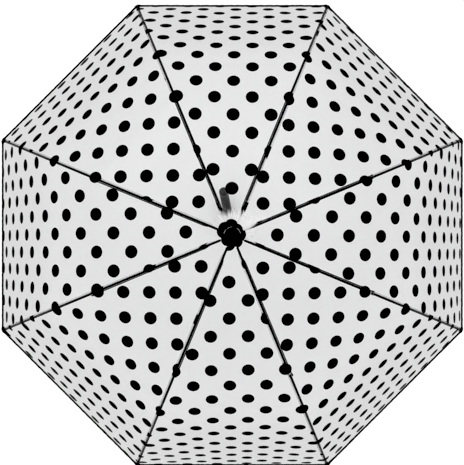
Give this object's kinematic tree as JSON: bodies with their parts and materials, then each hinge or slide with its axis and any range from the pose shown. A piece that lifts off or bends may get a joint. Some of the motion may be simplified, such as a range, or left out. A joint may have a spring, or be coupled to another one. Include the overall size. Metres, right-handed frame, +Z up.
{
  "type": "dome umbrella",
  "caption": "Clear dome umbrella, open: film panels with round black dots on a jointed black rib frame, with a sliding runner, a rosette, a ferrule and a crook handle.",
  "frame": {"origin": "on the shaft axis, at the middle of the straight part of the grip", "axes": "+Z up the shaft to the ferrule, +X and +Y each through the middle of a canopy panel; the crook's hook points 11.3 degrees past +Y towards -X"},
  "size_m": [0.778, 0.778, 0.8073],
  "materials": {
    "black_steel": "satin black enamel",
    "bright_steel": "plain drawn",
    "chrome": "polished",
    "black_plastic": "moulded satin",
    "gloss_black": "gloss",
    "black_vinyl": "soft vinyl",
    "clear_film": "clear film printed with black dots",
    "hem_binding": "woven tape"
  },
  "bodies": {
    "root": {"shaft": "black_steel", "crown": "black_plastic", "crown_wire": "bright_steel", "crown_rivet": "bright_steel", "ferrule": "gloss_black", "rosette": "black_vinyl", "handle": "gloss_black", "handle_collar": "chrome"},
    "runner": {"runner": "black_plastic", "runner_wire": "bright_steel"},
    "top_catch": {"top_catch": "bright_steel"},
    "bottom_catch": {"bottom_catch": "bright_steel"},
    "rib_inner_1": {"rib_inner_1": "black_steel"},
    "rib_outer_1": {"rib_outer_1": "black_steel", "rib_tip_1": "gloss_black"},
    "stretcher_1": {"stretcher_1": "black_steel"},
    "canopy_upper_1": {"film_1": "clear_film"},
    "canopy_lower_1": {"hem_1": "hem_binding"},
    "rib_inner_2": {"rib_inner_2": "black_steel"},
    "rib_outer_2": {"rib_outer_2": "black_steel", "rib_tip_2": "gloss_black"},
    "stretcher_2": {"stretcher_2": "black_steel"},
    "canopy_upper_2": {"film_2": "clear_film"},
    "canopy_lower_2": {"hem_2": "hem_binding"},
    "rib_inner_3": {"rib_inner_3": "black_steel"},
    "rib_outer_3": {"rib_outer_3": "black_steel", "rib_tip_3": "gloss_black"},
    "stretcher_3": {"stretcher_3": "black_steel"},
    "canopy_upper_3": {"film_3": "clear_film"},
    "canopy_lower_3": {"hem_3": "hem_binding"},
    "rib_inner_4": {"rib_inner_4": "black_steel"},
    "rib_outer_4": {"rib_outer_4": "black_steel", "rib_tip_4": "gloss_black"},
    "stretcher_4": {"stretcher_4": "black_steel"},
    "canopy_upper_4": {"film_4": "clear_film"},
    "canopy_lower_4": {"hem_4": "hem_binding"},
    "rib_inner_5": {"rib_inner_5": "black_steel"},
    "rib_outer_5": {"rib_outer_5": "black_steel", "rib_tip_5": "gloss_black"},
    "stretcher_5": {"stretcher_5": "black_steel"},
    "canopy_upper_5": {"film_5": "clear_film"},
    "canopy_lower_5": {"hem_5": "hem_binding"},
    "rib_inner_6": {"rib_inner_6": "black_steel"},
    "rib_outer_6": {"rib_outer_6": "black_steel", "rib_tip_6": "gloss_black"},
    "stretcher_6": {"stretcher_6": "black_steel"},
    "canopy_upper_6": {"film_6": "clear_film"},
    "canopy_lower_6": {"hem_6": "hem_binding"},
    "rib_inner_7": {"rib_inner_7": "black_steel"},
    "rib_outer_7": {"rib_outer_7": "black_steel", "rib_tip_7": "gloss_black"},
    "stretcher_7": {"stretcher_7": "black_steel"},
    "canopy_upper_7": {"film_7": "clear_film"},
    "canopy_lower_7": {"hem_7": "hem_binding"},
    "rib_inner_8": {"rib_inner_8": "black_steel"},
    "rib_outer_8": {"rib_outer_8": "black_steel", "rib_tip_8": "gloss_black"},
    "stretcher_8": {"stretcher_8": "black_steel"},
    "canopy_upper_8": {"film_8": "clear_film"},
    "canopy_lower_8": {"hem_8": "hem_binding"}
  },
  "joints": [
    {"name": "runner_slide", "type": "slide", "parent": "root", "child": "runner", "axis": [0, 0, -1], "range_m": [0, 0.263], "deforming": ["film_1", "film_2", "film_3", "film_4", "film_5", "film_6", "film_7", "film_8", "hem_1", "hem_2", "hem_3", "hem_4", "hem_5", "hem_6", "hem_7", "hem_8", "top_catch", "bottom_catch"]},
    {"name": "top_catch_press", "type": "slide", "parent": "root", "child": "top_catch", "axis": [0, 1, 0], "range_m": [0, 0.003], "stiffness_N_per_m": 1500, "springref_m": -0.001},
    {"name": "bottom_catch_press", "type": "slide", "parent": "root", "child": "bottom_catch", "axis": [0, 1, 0], "range_m": [0, 0.003], "stiffness_N_per_m": 1500, "springref_m": -0.001},
    {"name": "crown_hinge_1", "type": "hinge", "parent": "root", "child": "rib_inner_1", "pos_m": [0.0097, 0.00402, 0.65], "axis": [-0.3827, 0.9239, 0], "range_deg": [0, 74.65]},
    {"name": "rib_joint_1", "type": "hinge", "parent": "rib_inner_1", "child": "rib_outer_1", "pos_m": [0.1929, 0.0799, 0.60534], "axis": [-0.3827, 0.9239, 0], "range_deg": [-38.71, 0]},
    {"name": "stretcher_hinge_1", "type": "hinge", "parent": "runner", "child": "stretcher_1", "pos_m": [0.0097, 0.00402, 0.47014], "axis": [-0.3827, 0.9239, 0], "range_deg": [-53.47, 0]},
    {"name": "canopy_hinge_1", "type": "hinge", "parent": "root", "child": "canopy_upper_1", "pos_m": [0.00686, 0.00686, 0.65], "axis": [-0.7071, 0.7071, 0], "range_deg": [0, 72.08]},
    {"name": "canopy_fold_1", "type": "hinge", "parent": "canopy_upper_1", "child": "canopy_lower_1", "pos_m": [0.13726, 0.13726, 0.60847], "axis": [-0.7071, 0.7071, 0], "range_deg": [-38.21, 0]},
    {"name": "crown_hinge_2", "type": "hinge", "parent": "root", "child": "rib_inner_2", "pos_m": [0.00402, 0.0097, 0.65], "axis": [-0.9239, 0.3827, 0], "range_deg": [0, 74.65]},
    {"name": "rib_joint_2", "type": "hinge", "parent": "rib_inner_2", "child": "rib_outer_2", "pos_m": [0.0799, 0.1929, 0.60534], "axis": [-0.9239, 0.3827, 0], "range_deg": [-38.71, 0]},
    {"name": "stretcher_hinge_2", "type": "hinge", "parent": "runner", "child": "stretcher_2", "pos_m": [0.00402, 0.0097, 0.47014], "axis": [-0.9239, 0.3827, 0], "range_deg": [-53.47, 0]},
    {"name": "canopy_hinge_2", "type": "hinge", "parent": "root", "child": "canopy_upper_2", "pos_m": [0, 0.0097, 0.65], "axis": [-1, 0, 0], "range_deg": [0, 72.08]},
    {"name": "canopy_fold_2", "type": "hinge", "parent": "canopy_upper_2", "child": "canopy_lower_2", "pos_m": [0, 0.19412, 0.60847], "axis": [-1, 0, 0], "range_deg": [-38.21, 0]},
    {"name": "crown_hinge_3", "type": "hinge", "parent": "root", "child": "rib_inner_3", "pos_m": [-0.00402, 0.0097, 0.65], "axis": [-0.9239, -0.3827, 0], "range_deg": [0, 74.65]},
    {"name": "rib_joint_3", "type": "hinge", "parent": "rib_inner_3", "child": "rib_outer_3", "pos_m": [-0.0799, 0.1929, 0.60534], "axis": [-0.9239, -0.3827, 0], "range_deg": [-38.71, 0]},
    {"name": "stretcher_hinge_3", "type": "hinge", "parent": "runner", "child": "stretcher_3", "pos_m": [-0.00402, 0.0097, 0.47014], "axis": [-0.9239, -0.3827, 0], "range_deg": [-53.47, 0]},
    {"name": "canopy_hinge_3", "type": "hinge", "parent": "root", "child": "canopy_upper_3", "pos_m": [-0.00686, 0.00686, 0.65], "axis": [-0.7071, -0.7071, 0], "range_deg": [0, 72.08]},
    {"name": "canopy_fold_3", "type": "hinge", "parent": "canopy_upper_3", "child": "canopy_lower_3", "pos_m": [-0.13726, 0.13726, 0.60847], "axis": [-0.7071, -0.7071, 0], "range_deg": [-38.21, 0]},
    {"name": "crown_hinge_4", "type": "hinge", "parent": "root", "child": "rib_inner_4", "pos_m": [-0.0097, 0.00402, 0.65], "axis": [-0.3827, -0.9239, 0], "range_deg": [0, 74.65]},
    {"name": "rib_joint_4", "type": "hinge", "parent": "rib_inner_4", "child": "rib_outer_4", "pos_m": [-0.1929, 0.0799, 0.60534], "axis": [-0.3827, -0.9239, 0], "range_deg": [-38.71, 0]},
    {"name": "stretcher_hinge_4", "type": "hinge", "parent": "runner", "child": "stretcher_4", "pos_m": [-0.0097, 0.00402, 0.47014], "axis": [-0.3827, -0.9239, 0], "range_deg": [-53.47, 0]},
    {"name": "canopy_hinge_4", "type": "hinge", "parent": "root", "child": "canopy_upper_4", "pos_m": [-0.0097, 0, 0.65], "axis": [0, -1, 0], "range_deg": [0, 72.08]},
    {"name": "canopy_fold_4", "type": "hinge", "parent": "canopy_upper_4", "child": "canopy_lower_4", "pos_m": [-0.19412, 0, 0.60847], "axis": [0, -1, 0], "range_deg": [-38.21, 0]},
    {"name": "crown_hinge_5", "type": "hinge", "parent": "root", "child": "rib_inner_5", "pos_m": [-0.0097, -0.00402, 0.65], "axis": [0.3827, -0.9239, 0], "range_deg": [0, 74.65]},
    {"name": "rib_joint_5", "type": "hinge", "parent": "rib_inner_5", "child": "rib_outer_5", "pos_m": [-0.1929, -0.0799, 0.60534], "axis": [0.3827, -0.9239, 0], "range_deg": [-38.71, 0]},
    {"name": "stretcher_hinge_5", "type": "hinge", "parent": "runner", "child": "stretcher_5", "pos_m": [-0.0097, -0.00402, 0.47014], "axis": [0.3827, -0.9239, 0], "range_deg": [-53.47, 0]},
    {"name": "canopy_hinge_5", "type": "hinge", "parent": "root", "child": "canopy_upper_5", "pos_m": [-0.00686, -0.00686, 0.65], "axis": [0.7071, -0.7071, 0], "range_deg": [0, 72.08]},
    {"name": "canopy_fold_5", "type": "hinge", "parent": "canopy_upper_5", "child": "canopy_lower_5", "pos_m": [-0.13726, -0.13726, 0.60847], "axis": [0.7071, -0.7071, 0], "range_deg": [-38.21, 0]},
    {"name": "crown_hinge_6", "type": "hinge", "parent": "root", "child": "rib_inner_6", "pos_m": [-0.00402, -0.0097, 0.65], "axis": [0.9239, -0.3827, 0], "range_deg": [0, 74.65]},
    {"name": "rib_joint_6", "type": "hinge", "parent": "rib_inner_6", "child": "rib_outer_6", "pos_m": [-0.0799, -0.1929, 0.60534], "axis": [0.9239, -0.3827, 0], "range_deg": [-38.71, 0]},
    {"name": "stretcher_hinge_6", "type": "hinge", "parent": "runner", "child": "stretcher_6", "pos_m": [-0.00402, -0.0097, 0.47014], "axis": [0.9239, -0.3827, 0], "range_deg": [-53.47, 0]},
    {"name": "canopy_hinge_6", "type": "hinge", "parent": "root", "child": "canopy_upper_6", "pos_m": [0, -0.0097, 0.65], "axis": [1, 0, 0], "range_deg": [0, 72.08]},
    {"name": "canopy_fold_6", "type": "hinge", "parent": "canopy_upper_6", "child": "canopy_lower_6", "pos_m": [0, -0.19412, 0.60847], "axis": [1, 0, 0], "range_deg": [-38.21, 0]},
    {"name": "crown_hinge_7", "type": "hinge", "parent": "root", "child": "rib_inner_7", "pos_m": [0.00402, -0.0097, 0.65], "axis": [0.9239, 0.3827, 0], "range_deg": [0, 74.65]},
    {"name": "rib_joint_7", "type": "hinge", "parent": "rib_inner_7", "child": "rib_outer_7", "pos_m": [0.0799, -0.1929, 0.60534], "axis": [0.9239, 0.3827, 0], "range_deg": [-38.71, 0]},
    {"name": "stretcher_hinge_7", "type": "hinge", "parent": "runner", "child": "stretcher_7", "pos_m": [0.00402, -0.0097, 0.47014], "axis": [0.9239, 0.3827, 0], "range_deg": [-53.47, 0]},
    {"name": "canopy_hinge_7", "type": "hinge", "parent": "root", "child": "canopy_upper_7", "pos_m": [0.00686, -0.00686, 0.65], "axis": [0.7071, 0.7071, 0], "range_deg": [0, 72.08]},
    {"name": "canopy_fold_7", "type": "hinge", "parent": "canopy_upper_7", "child": "canopy_lower_7", "pos_m": [0.13726, -0.13726, 0.60847], "axis": [0.7071, 0.7071, 0], "range_deg": [-38.21, 0]},
    {"name": "crown_hinge_8", "type": "hinge", "parent": "root", "child": "rib_inner_8", "pos_m": [0.0097, -0.00402, 0.65], "axis": [0.3827, 0.9239, 0], "range_deg": [0, 74.65]},
    {"name": "rib_joint_8", "type": "hinge", "parent": "rib_inner_8", "child": "rib_outer_8", "pos_m": [0.1929, -0.0799, 0.60534], "axis": [0.3827, 0.9239, 0], "range_deg": [-38.71, 0]},
    {"name": "stretcher_hinge_8", "type": "hinge", "parent": "runner", "child": "stretcher_8", "pos_m": [0.0097, -0.00402, 0.47014], "axis": [0.3827, 0.9239, 0], "range_deg": [-53.47, 0]},
    {"name": "canopy_hinge_8", "type": "hinge", "parent": "root", "child": "canopy_upper_8", "pos_m": [0.0097, 0, 0.65], "axis": [0, 1, 0], "range_deg": [0, 72.08]},
    {"name": "canopy_fold_8", "type": "hinge", "parent": "canopy_upper_8", "child": "canopy_lower_8", "pos_m": [0.19412, 0, 0.60847], "axis": [0, 1, 0], "range_deg": [-38.21, 0]}
  ],
  "couplings": [
    {"joint": "crown_hinge_1", "follows": "runner_slide", "rad_per_m": 4.9526},
    {"joint": "rib_joint_1", "follows": "runner_slide", "rad_per_m": -2.5679},
    {"joint": "stretcher_hinge_1", "follows": "runner_slide", "rad_per_m": -3.5469},
    {"joint": "canopy_hinge_1", "follows": "runner_slide", "rad_per_m": 4.7821},
    {"joint": "canopy_fold_1", "follows": "runner_slide", "rad_per_m": -2.5343},
    {"joint": "crown_hinge_2", "follows": "runner_slide", "rad_per_m": 4.9526},
    {"joint": "rib_joint_2", "follows": "runner_slide", "rad_per_m": -2.5679},
    {"joint": "stretcher_hinge_2", "follows": "runner_slide", "rad_per_m": -3.5469},
    {"joint": "canopy_hinge_2", "follows": "runner_slide", "rad_per_m": 4.7821},
    {"joint": "canopy_fold_2", "follows": "runner_slide", "rad_per_m": -2.5343},
    {"joint": "crown_hinge_3", "follows": "runner_slide", "rad_per_m": 4.9526},
    {"joint": "rib_joint_3", "follows": "runner_slide", "rad_per_m": -2.5679},
    {"joint": "stretcher_hinge_3", "follows": "runner_slide", "rad_per_m": -3.5469},
    {"joint": "canopy_hinge_3", "follows": "runner_slide", "rad_per_m": 4.7821},
    {"joint": "canopy_fold_3", "follows": "runner_slide", "rad_per_m": -2.5343},
    {"joint": "crown_hinge_4", "follows": "runner_slide", "rad_per_m": 4.9526},
    {"joint": "rib_joint_4", "follows": "runner_slide", "rad_per_m": -2.5679},
    {"joint": "stretcher_hinge_4", "follows": "runner_slide", "rad_per_m": -3.5469},
    {"joint": "canopy_hinge_4", "follows": "runner_slide", "rad_per_m": 4.7821},
    {"joint": "canopy_fold_4", "follows": "runner_slide", "rad_per_m": -2.5343},
    {"joint": "crown_hinge_5", "follows": "runner_slide", "rad_per_m": 4.9526},
    {"joint": "rib_joint_5", "follows": "runner_slide", "rad_per_m": -2.5679},
    {"joint": "stretcher_hinge_5", "follows": "runner_slide", "rad_per_m": -3.5469},
    {"joint": "canopy_hinge_5", "follows": "runner_slide", "rad_per_m": 4.7821},
    {"joint": "canopy_fold_5", "follows": "runner_slide", "rad_per_m": -2.5343},
    {"joint": "crown_hinge_6", "follows": "runner_slide", "rad_per_m": 4.9526},
    {"joint": "rib_joint_6", "follows": "runner_slide", "rad_per_m": -2.5679},
    {"joint": "stretcher_hinge_6", "follows": "runner_slide", "rad_per_m": -3.5469},
    {"joint": "canopy_hinge_6", "follows": "runner_slide", "rad_per_m": 4.7821},
    {"joint": "canopy_fold_6", "follows": "runner_slide", "rad_per_m": -2.5343},
    {"joint": "crown_hinge_7", "follows": "runner_slide", "rad_per_m": 4.9526},
    {"joint": "rib_joint_7", "follows": "runner_slide", "rad_per_m": -2.5679},
    {"joint": "stretcher_hinge_7", "follows": "runner_slide", "rad_per_m": -3.5469},
    {"joint": "canopy_hinge_7", "follows": "runner_slide", "rad_per_m": 4.7821},
    {"joint": "canopy_fold_7", "follows": "runner_slide", "rad_per_m": -2.5343},
    {"joint": "crown_hinge_8", "follows": "runner_slide", "rad_per_m": 4.9526},
    {"joint": "rib_joint_8", "follows": "runner_slide", "rad_per_m": -2.5679},
    {"joint": "stretcher_hinge_8", "follows": "runner_slide", "rad_per_m": -3.5469},
    {"joint": "canopy_hinge_8", "follows": "runner_slide", "rad_per_m": 4.7821},
    {"joint": "canopy_fold_8", "follows": "runner_slide", "rad_per_m": -2.5343}
  ]
}
